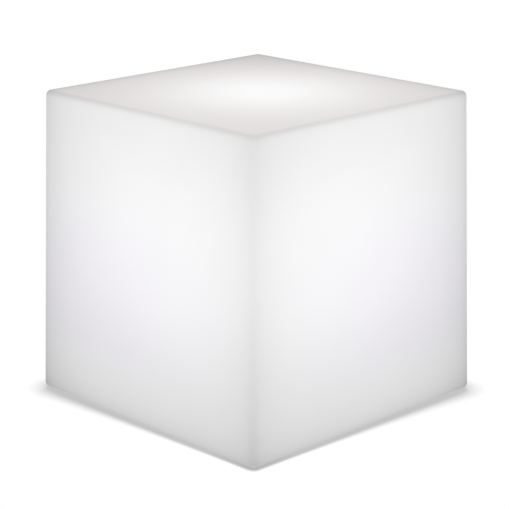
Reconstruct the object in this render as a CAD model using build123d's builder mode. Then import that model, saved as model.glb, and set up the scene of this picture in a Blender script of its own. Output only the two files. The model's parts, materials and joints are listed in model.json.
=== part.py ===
"""LED cube light, in millimetres, +Z up.

A rotomoulded translucent cube, with the slight draft that frees it from its mould, stands on four rubber pads.
A sealed, rechargeable lamp module is screwed up into a round recess in its underside, and its LED dome shines
inside the cube. The module's power button and its charging socket, under a silicone cap, face the floor inside
the recess.

The origin is the middle of the footprint, on the floor that the light stands on.
"""

import os
from math import cos, hypot, radians, sqrt, tan

from build123d import *

os.makedirs("parts", exist_ok=True)

# Cube: its side at the base, and how far each side leans in towards the top
cube_side = 400
cube_height = 400
cube_draft = 1.4
edge_radius = 7
shell_wall = 4
cavity_edge_radius = 12

# Rubber pads, glued into pockets near the corners
foot_inset = 40
foot_radius = 14
foot_sink = 3
foot_stand = 2
foot_chamfer = 1

# Recess in the underside, with moulded-in brass inserts round its opening
recess_depth = 14
recess_gap = 4
recess_draft = 3
recess_lip_radius = 3
opening_gap = 2
insert_radius = 3.5
insert_length = 9
boss_wall = 3.5

# Lamp module's base: a flanged cup, with room for the control board inside
cup_board_gap = 6
cup_wall = 3
cup_draft = 1
floor_thickness = 3
floor_corner_radius = 2
flange_margin = 3.5
flange_thickness = 4
rim_width = 3
rim_height = 2.5
gasket_thickness = 2
rib_count = 6
rib_inner_radius = 40
rib_width = 1.6
rib_height = 5

# Screws: shank radii of the M4, M3 and M2 sizes, and the head's size as shares of the shank's radius
m4_radius = 2
m3_radius = 1.5
m2_radius = 1
head_width_ratio = 2
head_height_ratio = 1.3
washer_thickness = 0.8
washer_margin = 0.5
module_screw_count = 6
module_screw_inset = 11
stack_screw_count = 6
screw_bite = 6
pilot_spare = 1

# Clearances
thread_clearance = 0.05
hole_clearance = 0.2
running_clearance = 0.1
assembly_gap = 0.3
wire_gap = 0.8

# Power button and its sealed switch
button_x = -18
button_radius = 8
button_proud = 1
button_travel = 0.8
button_flange_width = 2
button_flange = 1.2
bezel_width = 3
bezel_height = 1.5
membrane_thickness = 0.8
membrane_ring_width = 3.5
retainer_thickness = 1.5
retainer_wall = 1.6
switch_side = 12
switch_height = 4
plunger_radius = 3.5
plunger_depth = 1.6

# Charging socket, a 5.5 mm barrel jack with a 2.1 mm pin
socket_x = 18
socket_radius = 6
barrel_radius = 2.85
barrel_roof = 1.2
pin_radius = 1.05
pin_setback = 1

# Silicone cap over the socket, and the anchor that its strap hangs from
cap_radius = 8
cap_thickness = 1.6
cap_plug_radius = 4
cap_plug_depth = 2
cap_plug_clearance = 0.4
cap_hinge_reach = 12
cap_strap_width = 6
cap_tab_reach = 11
anchor_radius = 4.5
anchor_stem_radius = 2
anchor_bulb_radius = 2.8
anchor_bulb_height = 1.6
anchor_bulb_taper = 20
anchor_chamfer = 1

# Battery-level indicator
pipe_y = -17
pipe_radius = 2
pipe_flange_radius = 3
pipe_flange = 1
indicator_side = 3.2
indicator_height = 0.8

# Control board and what is soldered to it
board_length = 76
board_width = 56
board_thickness = 1.6
board_corner_radius = 4
board_hole_inset = 5
board_headroom = 1.6
standoff_radius = 3.5
standoff_gap = 2
chip_side = 9
chip_height = 1.2
chip_x = -24
inductor_side = 12
inductor_height = 6
inductor_x = -6
inductor_y = 14
capacitor_count = 3
capacitor_radius = 3.2
capacitor_height = 7
capacitor_pitch = 8.5
capacitor_x = -6
capacitor_y = -14
transistor_count = 4
transistor_length = 6.5
transistor_width = 4.5
transistor_height = 1.6
transistor_pitch = 7
transistor_x = 16
transistor_y = 18
connector_length = 8
connector_depth = 7
connector_height = 5
battery_plug_x = 24

# Battery: two 18650 cells in series, in a cradle
cell_radius = 9.2
cell_length = 65
cell_nub_radius = 3.3
cell_nub_height = 1
cell_clearance = 0.2
nickel_thickness = 0.3
nickel_width = 6
tab_length = 11
cradle_plate = 2
cradle_wall = 2
cradle_rib_count = 3
cradle_rib_pitch = 22
cradle_rib_width = 4
cradle_end_gap = 1.5
cradle_ear_width = 8
cradle_ear_y = 12
clamp_width = 12
clamp_thickness = 1.5
clamp_foot = 6
clamp_headroom = 8

# Leads
lead_radius = 0.8
lead_spacing = 2.5
lead_bend = 2.5
cable_radius = 2
cable_bend = 4.5
cable_x = 20
cable_end = 2

# LED tray, board and dome
post_radius = 4
post_sink = 1
seal_thickness = 1
seal_width = 9
tray_thickness = 3
cable_hole_radius = 5.5
spreader_thickness = 2
spreader_gap = 1.5
thermal_pad_thickness = 0.5
led_board_gap = 0.5
led_side = 5
led_height = 1.6
inner_led_circle = 20
inner_led_count = 8
outer_led_circle = 36
outer_led_count = 16
led_screw_circle = 28
led_screw_count = 4
dome_wall = 2
dome_height = 27
dome_flange = 2
ring_thickness = 2.5

# Levels, from the floor up
shell_bottom = foot_stand
seat_level = shell_bottom + recess_depth
flange_top = seat_level - gasket_thickness
panel_level = flange_top - flange_thickness
rim_level = panel_level - rim_height
floor_top = panel_level + floor_thickness
membrane_level = floor_top + button_flange
retainer_level = membrane_level + membrane_thickness
switch_level = retainer_level + retainer_thickness + assembly_gap
board_level = switch_level + switch_height
board_top = board_level + board_thickness
cradle_level = board_top + capacitor_height + board_headroom
cradle_floor = cradle_level + cradle_plate
cell_level = cradle_floor + cell_radius + cell_clearance
clamp_top = cell_level + cell_radius + cell_clearance + clamp_thickness
cup_top = clamp_top + clamp_headroom
tray_level = cup_top + seal_thickness
tray_top = tray_level + tray_thickness
pad_level = tray_top + spreader_thickness
led_board_level = pad_level + thermal_pad_thickness
led_board_top = led_board_level + board_thickness
dome_level = tray_top + seal_thickness
ring_level = dome_level + dome_flange
ring_top = ring_level + ring_thickness

# Radii and places that follow from the sizes above
foot_place = cube_side - 2 * foot_inset
draft_slope = tan(radians(cup_draft))
cup_floor_radius = hypot(board_length / 2, board_width / 2) + cup_board_gap
cup_bore_radius = cup_floor_radius + (cup_top - floor_top) * draft_slope
cup_top_radius = cup_bore_radius + cup_wall
cup_radius = cup_top_radius + (cup_top - flange_top) * draft_slope
opening_radius = cup_radius + opening_gap
module_screw_circle = opening_radius + module_screw_inset
washer_radius = m4_radius * head_width_ratio + washer_margin
flange_radius = module_screw_circle + washer_radius + flange_margin + rim_width
recess_radius = flange_radius + recess_gap
post_circle = cup_bore_radius - post_radius + post_sink
post_start_angle = 180 / stack_screw_count
dome_radius = post_circle - m3_radius * head_width_ratio - hole_clearance
dome_sphere_radius = (dome_radius**2 + dome_height**2) / (2 * dome_height)
dome_centre = dome_level + dome_height - dome_sphere_radius
button_hole_radius = button_radius + running_clearance
button_flange_radius = button_radius + button_flange_width
membrane_ring_inner = button_flange_radius + assembly_gap
membrane_radius = membrane_ring_inner + membrane_ring_width
retainer_radius = membrane_radius + hole_clearance + retainer_wall
retainer_ear_y = retainer_radius + m2_radius
retainer_ear_radius = m2_radius + retainer_wall
board_hole_x = board_length / 2 - board_hole_inset
board_hole_y = board_width / 2 - board_hole_inset
cap_top = panel_level - hole_clearance
cap_bottom = cap_top - cap_thickness
hinge_level = (cap_top + cap_bottom) / 2
hinge_radius = cap_thickness / 2
anchor_y = cap_hinge_reach + hinge_radius + assembly_gap + anchor_radius
socket_hole_radius = cap_plug_radius + cap_plug_clearance
socket_nose_radius = socket_hole_radius - hole_clearance
socket_nose_level = panel_level + cap_plug_depth + assembly_gap
cell_y = cell_radius + 2 * cell_clearance
cradle_half_width = cell_y + cell_radius + cell_clearance + cradle_wall
tab_face = cell_length / 2 + nickel_thickness
cradle_end = tab_face + cradle_end_gap
cradle_half_length = cradle_end + cradle_wall
cradle_post_x = board_length / 2 + standoff_radius + standoff_gap
cable_y = -(cradle_half_width + cable_radius + wire_gap)


def dome_bore(level):
    """The radius of the dome's hollow at a level."""
    return sqrt((dome_sphere_radius - dome_wall) ** 2 - (level - dome_centre) ** 2)


def rounded_block(wall, radius):
    """The drafted cube, or its cavity where a wall is given, with every edge rounded."""
    draft = radians(cube_draft)
    side = cube_side - 2 * wall * (tan(draft) + 1 / cos(draft))
    with BuildPart() as block:
        with BuildSketch(Plane.XY.offset(shell_bottom + wall)):
            Rectangle(side, side)
        extrude(amount=cube_height - 2 * wall, taper=cube_draft)
        fillet(block.edges(), radius)
    return block.part


def pan_screw(shank_radius, length):
    """A pan-head screw: bearing face at the origin, shank downwards, cross recess in the head's top."""
    head_radius = shank_radius * head_width_ratio
    head_height = shank_radius * head_height_ratio
    with BuildPart() as screw:
        with BuildSketch():
            Circle(head_radius)
        extrude(amount=head_height)
        chamfer(screw.edges().group_by(Axis.Z)[-1], head_height / 3)
        with BuildSketch():
            Circle(shank_radius)
        extrude(amount=-length)
        with BuildSketch(Plane.XY.offset(head_height)):
            Rectangle(head_radius, head_radius / 4)
            Rectangle(head_radius / 4, head_radius)
        extrude(amount=-head_height / 2, mode=Mode.SUBTRACT)
    return screw.part


def ring_seal(level, thickness, outer_radius, width):
    """A flat gasket round the module's stack, with a hole for each screw that clamps the stack."""
    with BuildPart() as seal:
        with BuildSketch(Plane.XY.offset(level)):
            Circle(outer_radius)
            Circle(outer_radius - width, mode=Mode.SUBTRACT)
            with PolarLocations(post_circle, stack_screw_count, start_angle=post_start_angle):
                Circle(m3_radius + hole_clearance, mode=Mode.SUBTRACT)
        extrude(amount=thickness)
    return seal


def wire(route, radius, bend):
    """A round wire along straight runs that are joined by bends."""
    with BuildPart() as lead:
        with BuildLine():
            path = FilletPolyline(*route, radius=bend)
        with BuildSketch(Plane(origin=path @ 0, z_dir=path % 0)):
            Circle(radius)
        sweep()
    return lead


def finish(piece, name):
    """Names a finished piece and writes it."""
    piece.part.label = name
    export_step(piece.part, f"parts/{name}.step")


# Cube shell: even walls with heavier corners, pad pockets, and the recess that holds the lamp module
outside = rounded_block(0, edge_radius)
cavity = rounded_block(shell_wall, cavity_edge_radius)
with BuildPart() as cube_shell:
    add(outside)
    add(cavity, mode=Mode.SUBTRACT)
    with BuildSketch(Plane.XY.offset(shell_bottom)):
        Circle(recess_radius + shell_wall)
        with GridLocations(foot_place, foot_place, 2, 2):
            Circle(foot_radius + hole_clearance + shell_wall)
    extrude(amount=foot_sink + shell_wall)
    with BuildSketch(Plane.XY.offset(shell_bottom)):
        Circle(recess_radius + shell_wall)
    extrude(amount=recess_depth + shell_wall)
    with BuildSketch(Plane.XY.offset(seat_level)):
        with PolarLocations(module_screw_circle, module_screw_count):
            Circle(insert_radius + boss_wall)
    extrude(amount=insert_length + boss_wall)
    with BuildSketch(Plane.XY.offset(shell_bottom)):
        Circle(recess_radius)
    extrude(amount=recess_depth, taper=recess_draft, mode=Mode.SUBTRACT)
    fillet(
        cube_shell.edges().filter_by(GeomType.CIRCLE).group_by(Axis.Z)[0].sort_by(SortBy.RADIUS)[-1],
        recess_lip_radius,
    )
    with BuildSketch(Plane.XY.offset(shell_bottom)):
        with GridLocations(foot_place, foot_place, 2, 2):
            Circle(foot_radius + hole_clearance)
    extrude(amount=foot_sink, mode=Mode.SUBTRACT)
    with BuildSketch(Plane.XY.offset(seat_level)):
        Circle(opening_radius)
        with PolarLocations(module_screw_circle, module_screw_count):
            Circle(insert_radius + thread_clearance)
    extrude(amount=insert_length, mode=Mode.SUBTRACT)
finish(cube_shell, "cube_shell")

with BuildPart() as threaded_inserts:
    with BuildSketch(Plane.XY.offset(seat_level)):
        with PolarLocations(module_screw_circle, module_screw_count):
            Circle(insert_radius)
            Circle(m4_radius + thread_clearance, mode=Mode.SUBTRACT)
    extrude(amount=insert_length)
finish(threaded_inserts, "threaded_inserts")

foot_number = 0
for foot_x in (-foot_place / 2, foot_place / 2):
    for foot_y in (-foot_place / 2, foot_place / 2):
        foot_number += 1
        with BuildPart() as foot_pad:
            with BuildSketch():
                with Locations((foot_x, foot_y)):
                    Circle(foot_radius)
            extrude(amount=foot_stand + foot_sink)
            chamfer(foot_pad.edges().group_by(Axis.Z)[0], foot_chamfer)
        finish(foot_pad, f"foot_pad_{foot_number}")

# Module base: one moulding of flange, drafted cup, screw posts, standoffs and floor ribs
with BuildPart() as module_base:
    with BuildSketch(Plane.XZ):
        with BuildLine():
            Polyline(
                (0, panel_level),
                (flange_radius - rim_width, panel_level),
                (flange_radius - rim_width, rim_level),
                (flange_radius, rim_level),
                (flange_radius, flange_top),
                (cup_radius, flange_top),
                (cup_top_radius, cup_top),
                (cup_bore_radius, cup_top),
                (cup_floor_radius, floor_top),
                (0, floor_top),
                close=True,
            )
        make_face()
    revolve(axis=Axis.Z)
    fillet(
        module_base.edges().filter_by(GeomType.CIRCLE).filter_by_position(Axis.Z, floor_top - 0.1, floor_top + 0.1),
        floor_corner_radius,
    )
    with BuildSketch(Plane.XY.offset(floor_top)):
        rib_length = cup_floor_radius + post_sink - rib_inner_radius
        with PolarLocations(rib_inner_radius + rib_length / 2, rib_count):
            Rectangle(rib_length, rib_width)
    extrude(amount=rib_height)
    with BuildSketch(Plane.XY.offset(floor_top)):
        with PolarLocations(post_circle, stack_screw_count, start_angle=post_start_angle):
            Circle(post_radius)
    extrude(amount=cup_top - floor_top)
    with BuildSketch(Plane.XY.offset(floor_top)):
        with GridLocations(2 * board_hole_x, 2 * board_hole_y, 2, 2):
            Circle(standoff_radius)
    extrude(amount=board_level - floor_top)
    with BuildSketch(Plane.XY.offset(floor_top)):
        with GridLocations(2 * cradle_post_x, 2 * cradle_ear_y, 2, 2):
            Circle(standoff_radius)
    extrude(amount=cradle_level - floor_top)
    with BuildSketch(Plane.XY.offset(floor_top)):
        with Locations((button_x, retainer_ear_y), (button_x, -retainer_ear_y)):
            Circle(retainer_ear_radius)
    extrude(amount=retainer_level - floor_top)
    with BuildSketch(Plane.XY.offset(panel_level)):
        with Locations((button_x, 0)):
            Circle(button_hole_radius + bezel_width)
    extrude(amount=-bezel_height)
    # Pilot holes, each from the top of its post
    for level, places in (
        (cup_top, PolarLocations(post_circle, stack_screw_count, start_angle=post_start_angle)),
        (board_level, GridLocations(2 * board_hole_x, 2 * board_hole_y, 2, 2)),
        (cradle_level, GridLocations(2 * cradle_post_x, 2 * cradle_ear_y, 2, 2)),
    ):
        with BuildSketch(Plane.XY.offset(level)):
            with places:
                Circle(m3_radius + thread_clearance)
        extrude(amount=-screw_bite - pilot_spare, mode=Mode.SUBTRACT)
    with BuildSketch(Plane.XY.offset(retainer_level)):
        with Locations((button_x, retainer_ear_y), (button_x, -retainer_ear_y)):
            Circle(m2_radius + thread_clearance)
    extrude(amount=panel_level + pilot_spare - retainer_level, mode=Mode.SUBTRACT)
    # Holes through the flange and the floor
    with BuildSketch(Plane.XY.offset(rim_level)):
        with PolarLocations(module_screw_circle, module_screw_count):
            Circle(m4_radius + hole_clearance)
        with Locations((button_x, 0)):
            Circle(button_hole_radius)
        with Locations((socket_x, 0)):
            Circle(socket_hole_radius)
        with Locations((socket_x, anchor_y)):
            Circle(anchor_stem_radius + thread_clearance)
        with Locations((0, pipe_y)):
            Circle(pipe_radius + thread_clearance)
    extrude(amount=flange_top - rim_level, mode=Mode.SUBTRACT)
finish(module_base, "module_base")

with BuildPart() as module_gasket:
    with BuildSketch(Plane.XY.offset(flange_top)):
        Circle(flange_radius)
        Circle(opening_radius, mode=Mode.SUBTRACT)
        with PolarLocations(module_screw_circle, module_screw_count):
            Circle(m4_radius + hole_clearance, mode=Mode.SUBTRACT)
    extrude(amount=gasket_thickness)
finish(module_gasket, "module_gasket")

with BuildPart() as module_washers:
    with BuildSketch(Plane.XY.offset(panel_level)):
        with PolarLocations(module_screw_circle, module_screw_count):
            Circle(washer_radius)
            Circle(m4_radius + hole_clearance, mode=Mode.SUBTRACT)
    extrude(amount=-washer_thickness)
finish(module_washers, "module_washers")

head_plane = Plane(origin=(0, 0, panel_level - washer_thickness), x_dir=(1, 0, 0), z_dir=(0, 0, -1))
module_screw = pan_screw(m4_radius, washer_thickness + flange_thickness + gasket_thickness + screw_bite)
with BuildPart(head_plane) as module_screws:
    with PolarLocations(module_screw_circle, module_screw_count):
        add(module_screw)
finish(module_screws, "module_screws")

# Control board, held on four standoffs
with BuildPart() as control_board:
    with BuildSketch(Plane.XY.offset(board_level)):
        RectangleRounded(board_length, board_width, board_corner_radius)
        with GridLocations(2 * board_hole_x, 2 * board_hole_y, 2, 2):
            Circle(m3_radius + hole_clearance, mode=Mode.SUBTRACT)
    extrude(amount=board_thickness)
finish(control_board, "control_board")

board_screw = pan_screw(m3_radius, board_thickness + screw_bite)
with BuildPart(Plane.XY.offset(board_top)) as control_board_screws:
    with GridLocations(2 * board_hole_x, 2 * board_hole_y, 2, 2):
        add(board_screw)
finish(control_board_screws, "control_board_screws")

with BuildPart() as controller_chip:
    with BuildSketch(Plane.XY.offset(board_top)):
        with Locations((chip_x, 0)):
            Rectangle(chip_side, chip_side)
    extrude(amount=chip_height)
finish(controller_chip, "controller_chip")

with BuildPart() as inductor:
    with BuildSketch(Plane.XY.offset(board_top)):
        with Locations((inductor_x, inductor_y)):
            RectangleRounded(inductor_side, inductor_side, inductor_side / 5)
    extrude(amount=inductor_height)
    chamfer(inductor.edges().group_by(Axis.Z)[-1], inductor_side / 20)
finish(inductor, "inductor")

with BuildPart() as capacitors:
    with BuildSketch(Plane.XY.offset(board_top)):
        with Locations((capacitor_x, capacitor_y)):
            with GridLocations(capacitor_pitch, capacitor_pitch, capacitor_count, 1):
                Circle(capacitor_radius)
    extrude(amount=capacitor_height)
finish(capacitors, "capacitors")

with BuildPart() as power_transistors:
    with BuildSketch(Plane.XY.offset(board_top)):
        with Locations((transistor_x, transistor_y)):
            with GridLocations(transistor_pitch, transistor_pitch, transistor_count, 1):
                Rectangle(transistor_width, transistor_length)
    extrude(amount=transistor_height)
finish(power_transistors, "power_transistors")

# Power button: a hard cap in the floor, a silicone membrane over its flange, and the switch under the board
with BuildPart() as power_button:
    with BuildSketch(Plane.XY.offset(panel_level - button_proud)):
        with Locations((button_x, 0)):
            Circle(button_radius)
    extrude(amount=button_proud + floor_thickness)
    chamfer(power_button.edges().group_by(Axis.Z)[0], button_proud / 2)
    with BuildSketch(Plane.XY.offset(floor_top)):
        with Locations((button_x, 0)):
            Circle(button_flange_radius)
    extrude(amount=button_flange)
finish(power_button, "power_button")

with BuildPart() as button_membrane:
    with BuildSketch(Plane.XY.offset(floor_top)):
        with Locations((button_x, 0)):
            Circle(membrane_radius)
    extrude(amount=button_flange + membrane_thickness)
    with BuildSketch(Plane.XY.offset(floor_top)):
        with Locations((button_x, 0)):
            Circle(membrane_ring_inner)
    extrude(amount=button_flange, mode=Mode.SUBTRACT)
finish(button_membrane, "button_membrane")

with BuildPart() as button_retainer:
    with BuildSketch(Plane.XY.offset(retainer_level)):
        with Locations((button_x, 0)):
            Circle(retainer_radius)
        with Locations((button_x, retainer_ear_y), (button_x, -retainer_ear_y)):
            Circle(retainer_ear_radius)
            Circle(m2_radius + thread_clearance, mode=Mode.SUBTRACT)
        with Locations((button_x, 0)):
            Circle(membrane_ring_inner, mode=Mode.SUBTRACT)
    extrude(amount=retainer_thickness)
finish(button_retainer, "button_retainer")

retainer_screw = pan_screw(m2_radius, retainer_thickness + retainer_level - floor_top)
with BuildPart(Plane.XY.offset(retainer_level + retainer_thickness)) as retainer_screws:
    with Locations((button_x, retainer_ear_y), (button_x, -retainer_ear_y)):
        add(retainer_screw)
finish(retainer_screws, "retainer_screws")

with BuildPart() as switch_body:
    with BuildSketch(Plane.XY.offset(switch_level)):
        with Locations((button_x, 0)):
            Rectangle(switch_side, switch_side)
    extrude(amount=switch_height)
    with BuildSketch(Plane.XY.offset(switch_level)):
        with Locations((button_x, 0)):
            Circle(plunger_radius + running_clearance)
    extrude(amount=plunger_depth + button_travel + assembly_gap, mode=Mode.SUBTRACT)
finish(switch_body, "switch_body")

with BuildPart() as switch_plunger:
    with BuildSketch(Plane.XY.offset(retainer_level)):
        with Locations((button_x, 0)):
            Circle(plunger_radius)
    extrude(amount=switch_level - retainer_level + plunger_depth)
finish(switch_plunger, "switch_plunger")

# Charging socket: a barrel jack under the board, with its nose in the floor's hole
with BuildPart() as charge_socket:
    with BuildSketch(Plane.XY.offset(floor_top)):
        with Locations((socket_x, 0)):
            Circle(socket_radius)
    extrude(amount=board_level - floor_top)
    with BuildSketch(Plane.XY.offset(socket_nose_level)):
        with Locations((socket_x, 0)):
            Circle(socket_nose_radius)
    extrude(amount=floor_top - socket_nose_level)
    with BuildSketch(Plane.XY.offset(socket_nose_level)):
        with Locations((socket_x, 0)):
            Circle(barrel_radius)
    extrude(amount=board_level - barrel_roof - socket_nose_level, mode=Mode.SUBTRACT)
    with BuildSketch(Plane.XY.offset(board_level)):
        with Locations((socket_x, 0)):
            Circle(pin_radius + thread_clearance)
    extrude(amount=-barrel_roof, mode=Mode.SUBTRACT)
finish(charge_socket, "charge_socket")

with BuildPart() as socket_pin:
    with BuildSketch(Plane.XY.offset(board_level)):
        with Locations((socket_x, 0)):
            Circle(pin_radius)
    extrude(amount=socket_nose_level + pin_setback - board_level)
    chamfer(socket_pin.edges().group_by(Axis.Z)[0], pin_radius / 3)
finish(socket_pin, "socket_pin")

# Charging cap: its strap ends in a round edge on the hinge axis, and a pull tab stands out opposite. The anchor
# is chamfered beside that edge, so that the cap can swing down and back by 120 degrees
with BuildPart() as charge_cap:
    with BuildSketch(Plane.XY.offset(cap_bottom)):
        with Locations((socket_x, 0)):
            Circle(cap_radius)
        with Locations((socket_x, cap_hinge_reach / 2)):
            Rectangle(cap_strap_width, cap_hinge_reach)
        with Locations((socket_x, -cap_tab_reach / 2)):
            Rectangle(cap_strap_width, cap_tab_reach)
    extrude(amount=cap_thickness)
    chamfer(charge_cap.edges().filter_by(Axis.Z).sort_by(Axis.Y)[:2], cap_strap_width / 4)
    with BuildSketch(Plane.YZ.offset(socket_x - cap_strap_width / 2)):
        with Locations((cap_hinge_reach, hinge_level)):
            Circle(hinge_radius)
    extrude(amount=cap_strap_width)
    with BuildSketch(Plane.XY.offset(cap_top)):
        with Locations((socket_x, 0)):
            Circle(cap_plug_radius)
    extrude(amount=panel_level + cap_plug_depth - cap_top)
finish(charge_cap, "charge_cap")

with BuildPart() as cap_anchor:
    with BuildSketch(Plane.XY.offset(cap_bottom)):
        with Locations((socket_x, anchor_y)):
            Circle(anchor_radius)
        with Locations((socket_x, anchor_y - anchor_radius / 2)):
            Rectangle(cap_strap_width, anchor_radius)
    extrude(amount=panel_level - cap_bottom)
    chamfer(cap_anchor.edges().group_by(Axis.Z)[0].filter_by(Axis.X).sort_by(Axis.Y)[0], anchor_chamfer)
    with BuildSketch(Plane.XY.offset(panel_level)):
        with Locations((socket_x, anchor_y)):
            Circle(anchor_stem_radius)
    extrude(amount=floor_thickness)
    with BuildSketch(Plane.XY.offset(floor_top)):
        with Locations((socket_x, anchor_y)):
            Circle(anchor_bulb_radius)
    extrude(amount=anchor_bulb_height, taper=anchor_bulb_taper)
finish(cap_anchor, "cap_anchor")

# Indicator: a surface-mount LED under the board and the clear pipe that takes its light through the floor
with BuildPart() as indicator_led:
    with BuildSketch(Plane.XY.offset(board_level)):
        with Locations((0, pipe_y)):
            Rectangle(indicator_side, indicator_side)
    extrude(amount=-indicator_height)
finish(indicator_led, "indicator_led")

with BuildPart() as light_pipe:
    with BuildSketch(Plane.XY.offset(panel_level)):
        with Locations((0, pipe_y)):
            Circle(pipe_radius)
    extrude(amount=board_level - indicator_height - assembly_gap - panel_level)
    with BuildSketch(Plane.XY.offset(floor_top)):
        with Locations((0, pipe_y)):
            Circle(pipe_flange_radius)
    extrude(amount=pipe_flange)
finish(light_pipe, "light_pipe")

# Battery cells: the first has its positive end towards +X and the second towards -X
for cell_number, (side_y, nub_side) in enumerate(((cell_y, 1), (-cell_y, -1)), start=1):
    with BuildPart() as battery_cell:
        with BuildSketch(Plane.YZ.offset(-nub_side * cell_length / 2)):
            with Locations((side_y, cell_level)):
                Circle(cell_radius)
        extrude(amount=nub_side * (cell_length - cell_nub_height))
        chamfer(battery_cell.edges().filter_by(GeomType.CIRCLE), cell_radius / 20)
        with BuildSketch(Plane.YZ.offset(nub_side * cell_length / 2)):
            with Locations((side_y, cell_level)):
                Circle(cell_nub_radius)
        extrude(amount=-nub_side * cell_nub_height)
    finish(battery_cell, f"battery_cell_{cell_number}")

with BuildPart() as battery_link:
    with BuildSketch(Plane.YZ.offset(-cell_length / 2)):
        with Locations((0, cell_level)):
            Rectangle(2 * cell_y + nickel_width, nickel_width)
    extrude(amount=-nickel_thickness)
finish(battery_link, "battery_link")

with BuildPart() as battery_tabs:
    with BuildSketch(Plane.YZ.offset(cell_length / 2)):
        tab_y = lead_spacing - lead_radius + tab_length / 2
        with Locations((tab_y, cell_level), (-tab_y, cell_level)):
            Rectangle(tab_length, nickel_width)
    extrude(amount=nickel_thickness)
finish(battery_tabs, "battery_tabs")

# Cradle: a ribbed tray with two round channels, ears for its four screws and two ears for the clamp
with BuildPart() as battery_cradle:
    with BuildSketch(Plane.XY.offset(cradle_level)):
        Rectangle(2 * cradle_half_length, 2 * cradle_half_width)
        with Locations((0, cradle_ear_y), (0, -cradle_ear_y)):
            SlotOverall(2 * cradle_post_x + cradle_ear_width, cradle_ear_width)
        with GridLocations(2 * cradle_post_x, 2 * cradle_ear_y, 2, 2):
            Circle(m3_radius + hole_clearance, mode=Mode.SUBTRACT)
    extrude(amount=cradle_plate)
    with BuildSketch(Plane.XY.offset(cradle_floor)):
        Rectangle(2 * cradle_half_length, 2 * cradle_half_width)
        Rectangle(2 * cradle_end, 2 * (cradle_half_width - cradle_wall), mode=Mode.SUBTRACT)
        with GridLocations(cradle_rib_pitch, cradle_rib_pitch, cradle_rib_count, 1):
            Rectangle(cradle_rib_width, 2 * cradle_half_width)
    extrude(amount=cell_level - cradle_floor)
    with BuildSketch(Plane.XY.offset(cell_level)):
        Rectangle(clamp_width, 2 * (cradle_half_width + clamp_foot))
        Rectangle(clamp_width, 2 * cradle_half_width, mode=Mode.SUBTRACT)
    extrude(amount=-screw_bite)
    with BuildSketch(Plane.YZ.offset(-cradle_end)):
        with Locations((cell_y, cell_level), (-cell_y, cell_level)):
            Circle(cell_radius + cell_clearance)
    extrude(amount=2 * cradle_end, mode=Mode.SUBTRACT)
    with BuildSketch(Plane.XY.offset(cell_level)):
        with GridLocations(0, 2 * cradle_half_width + clamp_foot, 1, 2):
            Circle(m3_radius + thread_clearance)
    extrude(amount=-screw_bite, mode=Mode.SUBTRACT)
finish(battery_cradle, "battery_cradle")

cradle_screw = pan_screw(m3_radius, cradle_plate + screw_bite)
with BuildPart(Plane.XY.offset(cradle_floor)) as cradle_screws:
    with GridLocations(2 * cradle_post_x, 2 * cradle_ear_y, 2, 2):
        add(cradle_screw)
finish(cradle_screws, "cradle_screws")

with BuildPart() as battery_clamp:
    with BuildSketch(Plane.YZ.offset(-clamp_width / 2)):
        with Locations((0, cell_level)):
            bottom = (Align.CENTER, Align.MIN)
            Rectangle(2 * (cradle_half_width + clamp_foot), clamp_thickness, align=bottom)
            Rectangle(2 * cradle_half_width, clamp_top - cell_level, align=bottom)
            Rectangle(
                2 * (cradle_half_width - clamp_thickness),
                clamp_top - clamp_thickness - cell_level,
                align=bottom,
                mode=Mode.SUBTRACT,
            )
    extrude(amount=clamp_width)
    with BuildSketch(Plane.XY.offset(cell_level)):
        with GridLocations(0, 2 * cradle_half_width + clamp_foot, 1, 2):
            Circle(m3_radius + hole_clearance)
    extrude(amount=clamp_thickness, mode=Mode.SUBTRACT)
finish(battery_clamp, "battery_clamp")

clamp_screw = pan_screw(m3_radius, clamp_thickness + screw_bite - pilot_spare)
with BuildPart(Plane.XY.offset(cell_level + clamp_thickness)) as clamp_screws:
    with GridLocations(0, 2 * cradle_half_width + clamp_foot, 1, 2):
        add(clamp_screw)
finish(clamp_screws, "clamp_screws")

# Connectors on the control board
with BuildPart() as battery_connector:
    with BuildSketch(Plane.XY.offset(board_top)):
        with Locations((battery_plug_x, 0)):
            Rectangle(connector_depth, connector_length)
    extrude(amount=connector_height)
finish(battery_connector, "battery_connector")

with BuildPart() as cable_connector:
    with BuildSketch(Plane.XY.offset(board_top)):
        with Locations((cable_x, cable_y)):
            Rectangle(connector_length, connector_depth)
    extrude(amount=connector_height)
finish(cable_connector, "cable_connector")

# Leads: from the cells' tabs over the cradle's end wall and down to the connector beneath
lead_level = cell_level + nickel_width / 2 - lead_radius
lead_drop_x = cradle_half_length + wire_gap + lead_radius
plug_level = board_top + connector_height / 2
for lead_y, name in ((lead_spacing, "battery_lead_positive"), (-lead_spacing, "battery_lead_negative")):
    battery_lead = wire(
        (
            (tab_face, lead_y, lead_level),
            (lead_drop_x, lead_y, lead_level),
            (lead_drop_x, lead_y, plug_level),
            (battery_plug_x + connector_depth / 2, lead_y, plug_level),
        ),
        lead_radius,
        lead_bend,
    )
    finish(battery_lead, name)

# Cable: up beside the cradle, over the clamp and through the LED tray to the LED board's connector
crossing_level = clamp_top + wire_gap + cable_radius
led_plug_level = led_board_top + cable_radius + wire_gap
led_plug_y = cable_bend + cable_end
led_cable = wire(
    (
        (cable_x, cable_y, board_top + connector_height),
        (cable_x, cable_y, crossing_level),
        (0, 0, crossing_level),
        (0, 0, led_plug_level),
        (0, led_plug_y, led_plug_level),
    ),
    cable_radius,
    cable_bend,
)
finish(led_cable, "led_cable")

# LED tray: closes the cup and carries the aluminium spreader, the LED board and the dome
tray_seal = ring_seal(cup_top, seal_thickness, cup_top_radius, seal_width)
finish(tray_seal, "tray_seal")

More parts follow.
